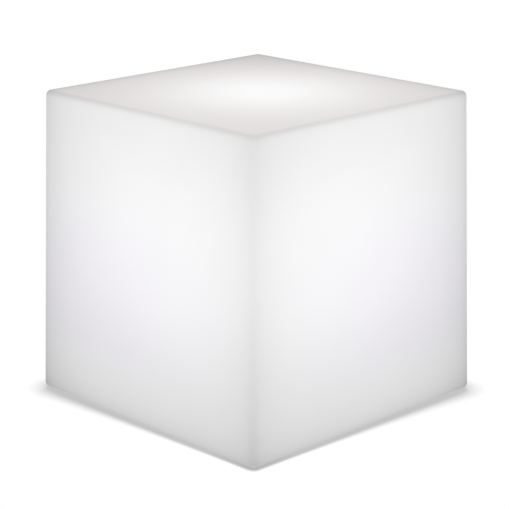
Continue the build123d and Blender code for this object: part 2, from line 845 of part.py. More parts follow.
with BuildPart() as led_tray:
    with BuildSketch(Plane.XY.offset(tray_level)):
        Circle(cup_top_radius)
        Circle(cable_hole_radius, mode=Mode.SUBTRACT)
        with PolarLocations(post_circle, stack_screw_count, start_angle=post_start_angle):
            Circle(m3_radius + hole_clearance, mode=Mode.SUBTRACT)
        with PolarLocations(led_screw_circle, led_screw_count):
            Circle(m3_radius + thread_clearance, mode=Mode.SUBTRACT)
    extrude(amount=tray_thickness)
finish(led_tray, "led_tray")


def led_disc(level, thickness, radius):
    """A disc under the dome, with the cable's hole and the LED board's screw holes."""
    with BuildPart() as disc:
        with BuildSketch(Plane.XY.offset(level)):
            Circle(radius)
            Circle(cable_hole_radius, mode=Mode.SUBTRACT)
            with PolarLocations(led_screw_circle, led_screw_count):
                Circle(m3_radius + hole_clearance, mode=Mode.SUBTRACT)
        extrude(amount=thickness)
    return disc


heat_spreader = led_disc(tray_top, spreader_thickness, dome_bore(pad_level) - spreader_gap)
finish(heat_spreader, "heat_spreader")
led_board_radius = dome_bore(led_board_top) - led_board_gap
thermal_pad = led_disc(pad_level, thermal_pad_thickness, led_board_radius)
finish(thermal_pad, "thermal_pad")
led_board = led_disc(led_board_level, board_thickness, led_board_radius)
finish(led_board, "led_board")

led_screw = pan_screw(m3_radius, led_board_top - tray_level)
with BuildPart(Plane.XY.offset(led_board_top)) as led_board_screws:
    with PolarLocations(led_screw_circle, led_screw_count):
        add(led_screw)
finish(led_board_screws, "led_board_screws")

with BuildPart() as led_packages:
    with BuildSketch(Plane.XY.offset(led_board_top)):
        with PolarLocations(inner_led_circle, inner_led_count, start_angle=180 / inner_led_count):
            Rectangle(led_side, led_side)
        with PolarLocations(outer_led_circle, outer_led_count, start_angle=180 / outer_led_count):
            Rectangle(led_side, led_side)
    extrude(amount=led_height)
finish(led_packages, "led_packages")

with BuildPart() as led_connector:
    with BuildSketch(Plane.XY.offset(led_board_top)):
        with Locations((0, led_plug_y + connector_depth / 2)):
            Rectangle(connector_length, connector_depth)
    extrude(amount=connector_height)
finish(led_connector, "led_connector")

# Dome: a spherical cap with a flange, clamped by a ring and the screws that close the whole stack
dome_seal = ring_seal(tray_top, seal_thickness, cup_top_radius, seal_width)
finish(dome_seal, "dome_seal")

with BuildPart() as dome_lens:
    with Locations((0, 0, dome_centre)):
        Sphere(dome_sphere_radius)
    split(bisect_by=Plane.XY.offset(dome_level))
    with BuildSketch(Plane.XY.offset(dome_level)):
        Circle(cup_top_radius)
        with PolarLocations(post_circle, stack_screw_count, start_angle=post_start_angle):
            Circle(m3_radius + hole_clearance, mode=Mode.SUBTRACT)
    extrude(amount=dome_flange)
    with Locations((0, 0, dome_centre)):
        Sphere(dome_sphere_radius - dome_wall, mode=Mode.SUBTRACT)
finish(dome_lens, "dome_lens")

dome_ring = ring_seal(ring_level, ring_thickness, cup_top_radius, cup_top_radius - dome_radius - hole_clearance)
finish(dome_ring, "dome_ring")

stack_screw = pan_screw(m3_radius, ring_top - cup_top + screw_bite)
with BuildPart(Plane.XY.offset(ring_top)) as stack_screws:
    with PolarLocations(post_circle, stack_screw_count, start_angle=post_start_angle):
        add(stack_screw)
finish(stack_screws, "stack_screws")
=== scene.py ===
"""LED cube light: its finishes, camera, studio light and floor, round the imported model. Metres, +Z up."""

import json
from math import cos, radians, sin, tan

import bpy
import numpy as np
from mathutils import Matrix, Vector


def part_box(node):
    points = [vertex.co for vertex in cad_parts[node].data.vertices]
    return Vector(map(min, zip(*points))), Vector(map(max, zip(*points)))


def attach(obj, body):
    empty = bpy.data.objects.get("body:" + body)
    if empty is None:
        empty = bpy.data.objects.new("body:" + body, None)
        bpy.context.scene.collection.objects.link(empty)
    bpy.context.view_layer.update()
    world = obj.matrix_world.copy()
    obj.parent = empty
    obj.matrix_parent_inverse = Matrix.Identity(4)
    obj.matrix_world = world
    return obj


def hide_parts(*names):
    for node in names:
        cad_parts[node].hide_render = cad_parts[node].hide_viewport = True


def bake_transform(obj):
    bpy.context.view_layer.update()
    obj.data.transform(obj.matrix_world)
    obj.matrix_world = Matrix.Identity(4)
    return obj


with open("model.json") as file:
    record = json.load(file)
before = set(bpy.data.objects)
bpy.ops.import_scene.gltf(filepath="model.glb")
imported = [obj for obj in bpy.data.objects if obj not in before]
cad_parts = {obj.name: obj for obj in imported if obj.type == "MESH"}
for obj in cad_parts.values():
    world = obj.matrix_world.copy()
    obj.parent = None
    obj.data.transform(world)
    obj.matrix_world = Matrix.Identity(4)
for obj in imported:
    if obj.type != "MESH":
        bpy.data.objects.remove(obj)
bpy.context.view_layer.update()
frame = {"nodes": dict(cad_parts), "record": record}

MM = 0.001

# The cube: its box from the model, and its mould's draft in degrees
SHELL_LOW, SHELL_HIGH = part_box("cube_shell")
HEIGHT = SHELL_HIGH.z - SHELL_LOW.z
SIDE = 400 * MM
HALF = SIDE / 2
DRAFT = 1.4
LEAN = HEIGHT * tan(radians(DRAFT))
EDGE_RADIUS = 7 * MM
MIDDLE = (SHELL_LOW.z + SHELL_HIGH.z) / 2

# Camera: its place round the cube in sides of the cube, and where it looks, in degrees
CAMERA_AZIMUTH = -44.389
CAMERA_DISTANCE = 5.697
CAMERA_HEIGHT = 2.1235
CAMERA_PAN = 0.0514
CAMERA_PITCH = 16.3037
CAMERA_FOCUS_PX = 1826.0
PHOTO_PX = 509
SENSOR_MM = 36

# Studio
WORLD_STRENGTH = 0.75
LAMP_POWER = 9
LAMP_SIZE = 1.6
LAMP_PLACE = (-1.1, -1.4, 2.4)
FLOOR_SIZE = 40

# Contact shadow: its reach at the front and back corners and at the two side corners, how dark it gets at the
# front corner and along the sides, and how far from that corner it has changed from one to the other
SHADOW_NEAR = 6.5 * MM
SHADOW_FAR = 30 * MM
DARKEST_AT_CORNER = 0.46
DARKEST_AT_SIDE = 0.55
SHADOW_CORNER = SIDE / 5

# The cube's own light. The sides' and the top's are fitted to the photograph's shading, and the bottom's is a
# guess. Each face has a base light and a bright middle with its place, reach and sharpness. All lengths are
# shares of a side
SIDE_LIGHT = {"base": 0.425, "peak": 0.128, "middle": (0.349, 0.582), "reach": (0.599, 0.325), "power": 2.68}
TOP_LIGHT = {"base": 0.298, "peak": 0.318, "middle": (0.52, 0.489), "reach": (0.446, 0.446), "power": 1.888}
BOTTOM_LIGHT = {"base": 0.34, "peak": 0.08, "middle": (0.5, 0.5), "reach": (0.4, 0.4), "power": 2.0}

# How much brighter a side gets up to its top, and how much the top changes along each of its edges from the
# front corner: it gets darker
SIDE_RISE = 0.058
TOP_SLOPE = -0.073

# The darker rims of the faces: each is how dark it is, and how far in it reaches. Outer ones are along the
# vertical edges at the left and right of the photograph, and inner ones along the front and back edges. The
# rims are partly the glow fading where the wall turns the corner and is thicker, and partly painted shade:
# the outer rims are painted darker than the inner ones, as edges seen side-on, and the lower rim darkens the
# sides near the floor. The edge and foot ones are painted shade on the rounded edges and at the feet of the
# front and back edges, by the floor
OUTER_RIM = (0.192, 0.137)
OUTER_EDGE_SHADE = (0.14, 0.014)
INNER_RIM = (0.102, 0.126)
LOWER_RIM = (0.153, 0.094)
LOWER_EDGE_SHADE = (0.09, 0.014)
UPPER_EDGE_SHADE = (0.22, 0.009)
INNER_FOOT_SHADE = (0.1, 0.016)
INNER_FOOT_RISE = 0.04
TOP_FRONT_EDGE_SHADE = (0.05, 0.01)
TOP_BACK_EDGE_SHADE = (0.26, 0.026)
BOTTOM_RIM = (0.1, 0.05)

# Tints of the light, and the stretches of a side's height and width over which the lilac comes and goes
WHITE = "#ffffff"
LILAC = "#faf6ff"
WARM = "#fff6f3"
LILAC_STARTS = (0.08, 0.24)
LILAC_ENDS = (0.45, 0.85)
LILAC_ACROSS = (0.1, 0.7)
LILAC_AT_FRONT = 0.3
WARM_FADE = 0.25

# The shell's skin: the size of its uneven patches and by how much they differ, and its orange peel
PATCH = 60 * MM
UNEVEN = 0.01
PEEL = 3 * MM
PEEL_DEPTH = 0.02 * MM

# A noise's values lie mostly between these
NOISE_LOW, NOISE_HIGH = 0.3, 0.7

# The charging cap's plate, which is thicker at its anchor, and the half-width of its strap
CAP_THICKNESS = 1.6 * MM
CAP_EDGE = 0.35 * MM
STRAP_HALF = 3 * MM
TAB_ROUND = 1.5 * MM
ANCHOR_THICKNESS = 1.8 * MM
ANCHOR_RISE = 2 * MM

# The grip grooves under its pull tab, from the tab's tip
GRIP_START = 0.6 * MM
GRIP_PITCH = 1.1 * MM
GRIP_DEPTH = 0.22 * MM
GRIP_COUNT = 3

# Its plug, and the button of its anchor: a neck that starts inside the plate, and a tapered, rounded head
PLUG_RADIUS = 4 * MM
PLUG_ROUND = 0.5 * MM
PLUG_FILLET = 0.3 * MM
NECK_RADIUS = 2 * MM
NECK_LENGTH = 3 * MM
NECK_TUCK = 0.4 * MM
HEAD_RADIUS = 2.8 * MM
HEAD_TAPER = 0.2 * MM
HEAD_ROUND = 0.6 * MM

# The power button's membrane
RING_GAP = 0.3 * MM
RING_CHAMFER = 0.15 * MM
SKIRT_GAP = 0.06 * MM
FOOT_HEIGHT = 0.2 * MM
CONTACT_GAP = 0.02 * MM

# Points of the meshes: along the cap, round its sections, round its plug, round the membrane and up its skirt
ALONG_COUNT = 260
SECTION_COUNT = 32
CAP_TURN_COUNT = 48
MEMBRANE_TURN_COUNT = 96
SKIRT_COUNT = 9

# The cap's least half-width, so that its ends don't fold to a line
THINNEST = 0.02 * MM

# An edge that turns by more than this, in degrees, is shaded as a sharp one
SHARP_TURN = 40


def linear(code):
    """The linear RGBA of an sRGB hex colour."""
    channels = [int(code[i : i + 2], 16) / 255 for i in (1, 3, 5)]
    return [c / 12.92 if c <= 0.04045 else ((c + 0.055) / 1.055) ** 2.4 for c in channels] + [1.0]


def add(tree, kind, *inputs, **settings):
    """Adds a node. The inputs go to its shown sockets in order: None leaves a socket as it is, a node gives
    its first output, a pair (node, name) the named output, and anything else is a constant. A setting that
    names a socket goes there in the same way, and any other sets a property of the node."""
    node = tree.nodes.new(kind)
    for name in [n for n in settings if n not in node.inputs]:
        setattr(node, name, settings.pop(name))
    shown = [socket for socket in node.inputs if socket.enabled]
    for socket, value in [*zip(shown, inputs), *((node.inputs[n], v) for n, v in settings.items())]:
        if isinstance(value, bpy.types.Node):
            value = (value, next(o.name for o in value.outputs if o.enabled))
        if isinstance(value, tuple) and isinstance(value[0], bpy.types.Node):
            source = next(o for o in value[0].outputs if o.enabled and o.name == value[1])
            tree.links.new(source, socket)
        elif value is not None:
            socket.default_value = value
    return node


def new_material(name):
    """An empty material, and its node tree."""
    material = bpy.data.materials.new(name)
    material.use_nodes = True
    material.node_tree.nodes.clear()
    return material, material.node_tree


# The lit shell


def glow(tree, across, up, light, rims):
    """The light of one face: base + peak * exp(-(distance from the middle / reach) ** power), less
    depth * exp(-distance / length) for each rim, with distances in sides of the cube."""
    (middle_across, middle_up), (reach_across, reach_up) = light["middle"], light["reach"]
    place = add(tree, "ShaderNodeCombineXYZ", across, up)
    offset = add(tree, "ShaderNodeVectorMath", place, (-middle_across, -middle_up, 0), operation="ADD")
    scaled = add(tree, "ShaderNodeVectorMath", offset, (1 / reach_across, 1 / reach_up, 0),
                 operation="MULTIPLY")
    radius = add(tree, "ShaderNodeVectorMath", scaled, operation="LENGTH")
    raised = add(tree, "ShaderNodeMath", radius, light["power"], operation="POWER")
    fall = add(tree, "ShaderNodeMath", raised, -1.0, operation="MULTIPLY")
    bright = add(tree, "ShaderNodeMath", fall, operation="EXPONENT")
    total = add(tree, "ShaderNodeMath", bright, light["peak"], light["base"], operation="MULTIPLY_ADD")
    # Each rim darkens the glow near an edge: partly the thicker wall, partly painted shade
    for distance, (depth, length) in rims:
        near = add(tree, "ShaderNodeMath", distance, -1 / length, operation="MULTIPLY")
        dark = add(tree, "ShaderNodeMath", near, operation="EXPONENT")
        total = add(tree, "ShaderNodeMath", dark, -depth, total, operation="MULTIPLY_ADD")
    return total


def side_glow(tree, x, y, height):
    """The light of the four sides, and its tint: lilac low down, most towards the outer edges."""
    # Across a side: 0 at the front and back vertical edges, and 1 at the other two
    product = add(tree, "ShaderNodeMath", x, y, operation="MULTIPLY")
    across = add(tree, "ShaderNodeMath", product, -0.5, 0.5, operation="MULTIPLY_ADD", use_clamp=True)
    across_left = add(tree, "ShaderNodeMath", 1.0, across, operation="SUBTRACT")
    height_left = add(tree, "ShaderNodeMath", 1.0, height, operation="SUBTRACT")
    # Painted shade: the front and back edges are darkest at their feet, by the floor
    foot = add(tree, "ShaderNodeMath", height, INNER_FOOT_RISE, across, operation="MULTIPLY_ADD")
    # Rims: real fading in the thicker corners, plus painted shade on rounded edges, side-on edges and by the
    # floor
    light = glow(tree, across, height, SIDE_LIGHT, (
        (across_left, OUTER_RIM), (across_left, OUTER_EDGE_SHADE), (across, INNER_RIM), (height, LOWER_RIM),
        (height, LOWER_EDGE_SHADE), (height_left, UPPER_EDGE_SHADE), (foot, INNER_FOOT_SHADE)))
    light = add(tree, "ShaderNodeMath", height, SIDE_RISE, light, operation="MULTIPLY_ADD")
    smooth = {"interpolation_type": "SMOOTHSTEP"}
    starts = add(tree, "ShaderNodeMapRange", height, *LILAC_STARTS, 0.0, 1.0, **smooth)
    ends = add(tree, "ShaderNodeMapRange", height, *LILAC_ENDS, 1.0, 0.0, **smooth)
    outwards = add(tree, "ShaderNodeMapRange", across, *LILAC_ACROSS, LILAC_AT_FRONT, 1.0, **smooth)
    band = add(tree, "ShaderNodeMath", starts, ends, operation="MULTIPLY")
    share = add(tree, "ShaderNodeMath", band, outwards, operation="MULTIPLY")
    tint = add(tree, "ShaderNodeMix", share, linear(WHITE), linear(LILAC), data_type="RGBA")
    return light, tint


def end_glows(tree, x, y):
    """The lights of the top and the bottom, each with its tint. The top is warm away from its bright middle,
    and the bottom is white."""
    # Both directions from the front corner, 0 to 1
    east = add(tree, "ShaderNodeMath", x, 0.5, 0.5, operation="MULTIPLY_ADD", use_clamp=True)
    north = add(tree, "ShaderNodeMath", y, 0.5, 0.5, operation="MULTIPLY_ADD", use_clamp=True)
    front = add(tree, "ShaderNodeMath", east, north, operation="MINIMUM")
    far = add(tree, "ShaderNodeMath", east, north, operation="MAXIMUM")
    back = add(tree, "ShaderNodeMath", 1.0, far, operation="SUBTRACT")
    # Painted shade on the rounded front and back edges of the top
    top = glow(tree, east, north, TOP_LIGHT, ((front, TOP_FRONT_EDGE_SHADE), (back, TOP_BACK_EDGE_SHADE)))
    depth = add(tree, "ShaderNodeMath", east, north, operation="ADD")
    top = add(tree, "ShaderNodeMath", depth, TOP_SLOPE, top, operation="MULTIPLY_ADD")
    base = TOP_LIGHT["base"]
    share = add(tree, "ShaderNodeMapRange", top, base, base + WARM_FADE, 1.0, 0.0)
    warm = add(tree, "ShaderNodeMix", share, linear(WHITE), linear(WARM), data_type="RGBA")
    bottom = glow(tree, east, north, BOTTOM_LIGHT, ((front, BOTTOM_RIM), (back, BOTTOM_RIM)))
    return (top, warm), (bottom, linear(WHITE))


def lit_polyethylene():
    """Milky rotomoulded LLDPE, 4 mm thick and lit from inside: a satin skin that glows most over the middle
    of each side, with soft darker rims, partly where the wall turns the corner and is thicker, and partly
    painted shade on the rounded edges, at the edges seen side-on and near the floor."""
    material, tree = new_material("lit_rotomoulded_polyethylene")
    place = add(tree, "ShaderNodeTexCoord")
    position = add(tree, "ShaderNodeSeparateXYZ", (place, "Object"))
    height = add(tree, "ShaderNodeMath", (position, "Z"), 1 / HEIGHT, -SHELL_LOW.z / HEIGHT,
                 operation="MULTIPLY_ADD", use_clamp=True)
    half_width = add(tree, "ShaderNodeMath", height, -LEAN, HALF, operation="MULTIPLY_ADD")
    x = add(tree, "ShaderNodeMath", (position, "X"), half_width, operation="DIVIDE")
    y = add(tree, "ShaderNodeMath", (position, "Y"), half_width, operation="DIVIDE")
    total, colour = side_glow(tree, x, y, height)
    top, bottom = end_glows(tree, x, y)
    # Which face a point is on, turning over within the round of the edges: tall is 1 on the top or the
    # bottom, and wide is 1 on the sides
    across_x = add(tree, "ShaderNodeMath", x, operation="ABSOLUTE")
    across_y = add(tree, "ShaderNodeMath", y, operation="ABSOLUTE")
    wide = add(tree, "ShaderNodeMath", across_x, across_y, operation="MAXIMUM")
    round_share = EDGE_RADIUS / HALF
    for sign, (face, face_colour) in ((2.0, top), (-2.0, bottom)):
        tall = add(tree, "ShaderNodeMath", height, sign, -sign / 2, operation="MULTIPLY_ADD")
        facing = add(tree, "ShaderNodeMath", tall, wide, operation="SUBTRACT")
        share = add(tree, "ShaderNodeMapRange", facing, -round_share, round_share, 0.0, 1.0,
                    interpolation_type="SMOOTHSTEP")
        total = add(tree, "ShaderNodeMix", share, total, face)
        colour = add(tree, "ShaderNodeMix", share, colour, face_colour, data_type="RGBA")
    # The wall's thickness changes slowly, so that the light is faintly patchy
    wall = add(tree, "ShaderNodeTexNoise", (place, "Object"), Scale=1 / PATCH, Detail=2.0)
    uneven = add(tree, "ShaderNodeMapRange", (wall, "Fac"), NOISE_LOW, NOISE_HIGH, 1 - UNEVEN, 1 + UNEVEN)
    strength = add(tree, "ShaderNodeMath", total, uneven, operation="MULTIPLY")
    # The skin's orange peel breaks up its reflections
    peel = add(tree, "ShaderNodeTexNoise", (place, "Object"), Scale=1 / PEEL, Detail=2.0)
    relief = add(tree, "ShaderNodeBump", Strength=1.0, Distance=PEEL_DEPTH, Height=(peel, "Fac"))
    surface = add(tree, "ShaderNodeBsdfPrincipled", Roughness=0.55, IOR=1.51, Normal=relief, **{
        "Specular IOR Level": 0.3, "Base Color": linear("#aeaeae"), "Emission Color": colour,
        "Emission Strength": strength})
    add(tree, "ShaderNodeOutputMaterial", surface)
    return material


# Finishes of the lamp module


def grained(name, dark, light, grain, roughness, spread, relief=0.0, stretch=(1, 1, 1), **shader):
    """A finish whose colour and roughness follow a grain of a real size. The grain and its relief are in
    millimetres. The roughness differs by the spread to both sides. The stretch draws the grain out along an
    axis, as brushing and rolling do."""
    material, tree = new_material(name)
    place = add(tree, "ShaderNodeTexCoord")
    drawn = add(tree, "ShaderNodeMapping", (place, "Object"), Scale=[1 / s for s in stretch])
    pattern = add(tree, "ShaderNodeTexNoise", drawn, Scale=1 / (grain * MM), Detail=3.0, Roughness=0.6)
    colour = add(tree, "ShaderNodeMix", (pattern, "Fac"), linear(dark), linear(light), data_type="RGBA")
    matt = add(tree, "ShaderNodeMapRange", (pattern, "Fac"), NOISE_LOW, NOISE_HIGH,
               roughness - spread, roughness + spread)
    surface = add(tree, "ShaderNodeBsdfPrincipled", Roughness=matt, **{"Base Color": colour}, **shader)
    if relief:
        bump = add(tree, "ShaderNodeBump", Strength=1.0, Distance=relief * MM, Height=(pattern, "Fac"))
        tree.links.new(bump.outputs[0], surface.inputs["Normal"])
    add(tree, "ShaderNodeOutputMaterial", surface)
    return material


def solder_mask(name, mask, track, pitch, roughness):
    """A board under solder mask: a smooth coat over tracks, which show as slightly lighter lines in low
    relief, drawn at the board's routing pitch in millimetres."""
    material, tree = new_material(name)
    place = add(tree, "ShaderNodeTexCoord")
    lines = add(tree, "ShaderNodeTexBrick", (place, "Object"), linear(mask), linear(mask), linear(track),
                Scale=1 / (pitch * MM), offset=0.35, **{"Mortar Size": 0.12, "Brick Width": 7.0})
    relief = add(tree, "ShaderNodeBump", Strength=1.0, Distance=0.03 * MM, Height=(lines, "Fac"))
    surface = add(tree, "ShaderNodeBsdfPrincipled", Roughness=roughness, Normal=relief, **{
        "Base Color": (lines, "Color")})
    add(tree, "ShaderNodeOutputMaterial", surface)
    return material


def moulded_silicone(name, dark, light):
    """Compression-moulded silicone: matt, with a soft sheen and a fine tooth that holds some dust."""
    return grained(name, dark, light, grain=0.6, roughness=0.62, spread=0.06, relief=0.008, **{
        "Sheen Weight": 0.15, "Sheen Roughness": 0.5})


def extruded_insulation(name, dark, light, grain, roughness):
    """Wire insulation: a soft satin skin whose faint marks run along the wire, as it left the die."""
    return grained(name, dark, light, grain, roughness, spread=0.05, relief=0.01, stretch=(1, 1, 4))


def plastics():
    """The rigid plastics and the ceramic of the lamp module, by the record's slot names."""
    return {
        # ABS from a spark-eroded mould: off-white, with an even, fine, matt texture
        "abs_white": grained("textured_white_abs", "#d9d9d6", "#e3e3e0", grain=0.7, roughness=0.52,
                             spread=0.06, relief=0.012),
        # ABS from a polished mould: smooth, with a soft gloss that sets the button off from the cup
        "abs_button": grained("polished_grey_abs", "#c4c5c6", "#cccdce", grain=6, roughness=0.22,
                              spread=0.03),
        # The same texture as the cup's in black, so that it reads as dark grey under light
        "abs_black": grained("textured_black_abs", "#191a1b", "#232425", grain=0.7, roughness=0.5,
                             spread=0.06, relief=0.012),
        # Transfer-moulded epoxy: near black and satin, with a fine even grit
        "epoxy_black": grained("moulded_epoxy", "#1d1e20", "#292a2c", grain=0.3, roughness=0.48,
                               spread=0.05, relief=0.006),
        # Sintered ferrite: dark grey, dull and slightly granular
        "ferrite": grained("sintered_ferrite", "#35363a", "#44454a", grain=0.5, roughness=0.6,
                           spread=0.08, relief=0.02),
        # Natural nylon: creamy white and waxy, with faint flow marks
        "nylon_white": grained("natural_nylon", "#e6e3d6", "#efecdf", grain=1.2, roughness=0.42,
                               spread=0.05, relief=0.004),
        # Dyed nylon: a deep red with a soft gloss
        "switch_red": grained("red_nylon", "#a11b16", "#b0251f", grain=1.2, roughness=0.35,
                              spread=0.05, relief=0.004),
        # Heat-shrunk PVC over a steel can: glossy blue, with faint wrinkles round the cell
        "cell_sleeve": grained("shrunk_pvc_sleeve", "#24598c", "#2c659b", grain=4, roughness=0.26,
                               spread=0.06, relief=0.05, stretch=(0.5, 1, 1)),
        # Cast acrylic with polished ends: clear, and bright at its rim
        "clear_acrylic": grained("clear_acrylic", "#f2f7f7", "#f8fbfb", grain=5, roughness=0.06, spread=0.02,
                                 IOR=1.49, **{"Transmission Weight": 0.85}),
        # Sand-frosted polycarbonate: white and blurred, with a fine grit
        "frosted_polycarbonate": grained("frosted_polycarbonate", "#eeeeec", "#f6f6f4", grain=0.4,
                                         roughness=0.55, spread=0.05, relief=0.01, IOR=1.58,
                                         **{"Transmission Weight": 0.5}),
        # Phosphor-filled resin in a white package: yellow when unlit, with a light of its own
        "led_epoxy": grained("phosphor_resin", "#e6d67a", "#f0e28c", grain=0.2, roughness=0.35, spread=0.05,
                             relief=0.01, **{"Emission Color": linear("#fff6e4"), "Emission Strength": 1.0}),
    }


def metals():
    """The metals of the lamp module and the shell's inserts, by the record's slot names."""
    metal = {"Metallic": 1.0}
    return {
        # Cold-formed stainless steel: bright, with a very fine grain
        "stainless": grained("cold_formed_stainless", "#c4c4c6", "#d2d2d4", grain=0.25, roughness=0.3,
                             spread=0.04, relief=0.0004, stretch=(8, 1, 1), **metal),
        # Rolled and zinc-plated strip: bluish and slightly cloudy
        "clamp_steel": grained("zinc_plated_strip", "#b4b8bd", "#c8ccd0", grain=1.5, roughness=0.36,
                               spread=0.1, relief=0.003, stretch=(6, 1, 1), **metal),
        # Rolled nickel strip: warm grey, with the roll's lines along it
        "nickel": grained("rolled_nickel", "#c3bfb5", "#d0ccc2", grain=0.6, roughness=0.3,
                          spread=0.08, relief=0.002, stretch=(1, 6, 1), **metal),
        # Turned brass: yellow, with fine lines round it
        "brass_insert": grained("turned_brass", "#c3a15c", "#d3b46e", grain=0.3, roughness=0.3,
                                spread=0.08, relief=0.004, stretch=(1, 1, 0.3), **metal),
        # Nickel-plated pin: smooth, and brighter than the strip
        "brass_plated": grained("nickel_plated_pin", "#cfcdc6", "#d9d7d0", grain=0.3, roughness=0.2,
                                spread=0.05, **metal),
        # Drawn aluminium can: pale grey, with the punch's lines up its side
        "can_aluminium": grained("drawn_aluminium", "#c8c9cc", "#d6d7da", grain=0.3, roughness=0.34,
                                 spread=0.06, relief=0.002, stretch=(1, 1, 8), **metal),
        # Milled aluminium plate: pale grey, with straight cutter lines
        "spreader_aluminium": grained("milled_aluminium", "#c9cacc", "#d8d9db", grain=0.4, roughness=0.38,
                                      spread=0.1, relief=0.004, stretch=(12, 1, 1), **metal),
    }


def soft_parts_and_boards():
    """The rubbers, wires and circuit boards, by the record's slot names."""
    return {
        # The charging cap and the seals: mid grey, matt and rubbery
        "silicone_grey": moulded_silicone("grey_silicone", "#8b8d90", "#95979a"),
        # The button's membrane: milky, and paler than the seals
        "silicone_clear": moulded_silicone("milky_silicone", "#d2d2cf", "#dadad8"),
        # The thermal pad: a dusty blue
        "thermal_silicone": moulded_silicone("blue_thermal_silicone", "#7d8ba6", "#8794ae"),
        # The foot pads: filled rubber, matt and a little dusty
        "foot_rubber": grained("moulded_grey_rubber", "#86878a", "#929396", grain=0.9, roughness=0.7,
                               spread=0.08, relief=0.02),
        # The battery's plus lead: signal red
        "lead_red": extruded_insulation("red_wire", "#a81c18", "#b72722", grain=1.0, roughness=0.4),
        # The battery's minus lead: near black
        "lead_black": extruded_insulation("black_wire", "#191919", "#242424", grain=1.0, roughness=0.4),
        # The LED cable's sheath: mid grey, and duller than the leads
        "cable_grey": extruded_insulation("grey_cable", "#8f9092", "#999a9c", grain=1.2, roughness=0.45),
        # The control board: glossy green over lighter green tracks
        "fr4_green": solder_mask("green_solder_mask", "#0e4a2a", "#1c6a40", pitch=1.27, roughness=0.3),
        # The LED board: white, to throw the light outwards, with hardly visible tracks
        "led_board_white": solder_mask("white_solder_mask", "#ececea", "#f4f4f2", pitch=2.54, roughness=0.4),
    }


# The silicone mouldings


def smooth_largest(parts, sharpness=6):
    """A smooth stand-in for the largest of several lengths, so that their outlines meet in small fillets."""
    return sum(np.maximum(p, 0) ** sharpness for p in parts) ** (1 / sharpness)


def closed_rings(points, looped=False):
    """The corners and faces of a grid of rings, of shape (rings, points round, 3). It is closed at both ends
    by a fan or, when looped, by joining the last ring to the first."""
    rings, count = points.shape[:2]
    index = np.arange(rings * count).reshape(rings, count)
    after = np.roll(index, -1, axis=1)
    if looped:
        quads = np.stack([index, after, np.roll(after, -1, axis=0), np.roll(index, -1, axis=0)], axis=-1)
        return points.reshape(-1, 3), [*map(tuple, quads.reshape(-1, 4).tolist())]
    quads = np.stack([index[:-1], after[:-1], after[1:], index[1:]], axis=-1).reshape(-1, 4)
    first, last = rings * count, rings * count + 1
    starts = np.stack([np.full(count, first), after[0], index[0]], axis=-1)
    ends = np.stack([np.full(count, last), index[-1], after[-1]], axis=-1)
    corners = np.concatenate([points.reshape(-1, 3), points[0].mean(0)[None], points[-1].mean(0)[None]])
    return corners, [tuple(face) for part in (quads, starts, ends) for face in part.tolist()]


def revolved(profile, x, y, count):
    """A profile of (radius, height) pairs turned round the vertical line at x, y."""
    radius, height = np.array(profile).T
    turn = np.linspace(0, 2 * np.pi, count, endpoint=False)
    return np.stack([
        x + radius[:, None] * np.cos(turn),
        y + radius[:, None] * np.sin(turn),
        np.broadcast_to(height[:, None], (len(radius), count)),
    ], axis=-1)


def moulding(name, slot, surfaces):
    """One object made of closed surfaces, each a pair of corners and faces, with the finish of a slot."""
    corners, faces = [], []
    for points, sides in surfaces:
        shift = sum(map(len, corners))
        corners.append(points)
        faces += [tuple(i + shift for i in f) for f in sides]
    mesh = bpy.data.meshes.new(name)
    mesh.from_pydata(np.concatenate(corners).tolist(), [], faces)
    mesh.shade_smooth()
    mesh.set_sharp_from_angle(angle=radians(SHARP_TURN))
    piece = bpy.data.objects.new(name, mesh)
    bpy.context.scene.collection.objects.link(piece)
    mesh.materials.append(FINISHES[slot])
    return piece


def button_membrane():
    """The silicone membrane over the power button, in two pieces, each a profile turned round the button's
    axis. The ring is a chamfered rectangle, clamped under the retainer. The web lies on the button's flange
    and hangs in the ring by a thin skirt, whose foot is in the ring's wall."""
    low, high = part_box("button_membrane")
    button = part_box("power_button")[1]
    x = (low.x + high.x) / 2
    rim = high.x - x
    hole = button.x - x + RING_GAP
    inner = button.x - x + SKIRT_GAP
    outer = hole - SKIRT_GAP
    ring = moulding("membrane_ring", "silicone_clear", [closed_rings(revolved([
        (rim - RING_CHAMFER, low.z), (rim, low.z + RING_CHAMFER), (rim, high.z - RING_CHAMFER),
        (rim - RING_CHAMFER, high.z), (hole + RING_CHAMFER, high.z), (hole, high.z - RING_CHAMFER),
        (hole, low.z + RING_CHAMFER), (hole + RING_CHAMFER, low.z),
    ], x, 0.0, MEMBRANE_TURN_COUNT), looped=True)])
    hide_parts("button_membrane")
    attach(ring, "lamp")
    under, over = button.z + CONTACT_GAP, high.z - CONTACT_GAP
    heights = np.linspace(low.z + FOOT_HEIGHT, under, SKIRT_COUNT)
    web = moulding("membrane_web", "silicone_clear", [closed_rings(revolved([
        *((inner, z) for z in heights[::-1]), (inner, low.z + CONTACT_GAP),
        (hole + SKIRT_GAP, low.z + RING_CHAMFER / 2), (hole + SKIRT_GAP, low.z + FOOT_HEIGHT),
        *((outer, z) for z in heights), (outer, over - RING_CHAMFER), (outer - RING_CHAMFER, over),
    ], x, 0.0, MEMBRANE_TURN_COUNT))])
    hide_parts("button_membrane")
    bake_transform(web)


def cap_outline(along, low, high, anchor_low, anchor_high):
    """The half-width of the cap's plate at distances along it: the smooth largest of the cap's disc and the
    anchor's disc, each sqrt(radius**2 - distance**2), and the strap, with a rounded tip at the pull tab."""
    disc = (high.x - low.x) / 2
    anchor_disc = (anchor_high.x - anchor_low.x) / 2
    anchor_y = anchor_high.y - anchor_disc
    tip = np.clip((along - low.y) / TAB_ROUND, 0, 1)
    half = smooth_largest([
        np.sqrt(np.maximum(disc**2 - along**2, 0)),
        np.sqrt(np.maximum(anchor_disc**2 - (along - anchor_y) ** 2, 0)),
        np.where(along < anchor_y, STRAP_HALF * np.sqrt(1 - (1 - tip) ** 2), 0),
    ])
    return np.maximum(half, THINNEST)


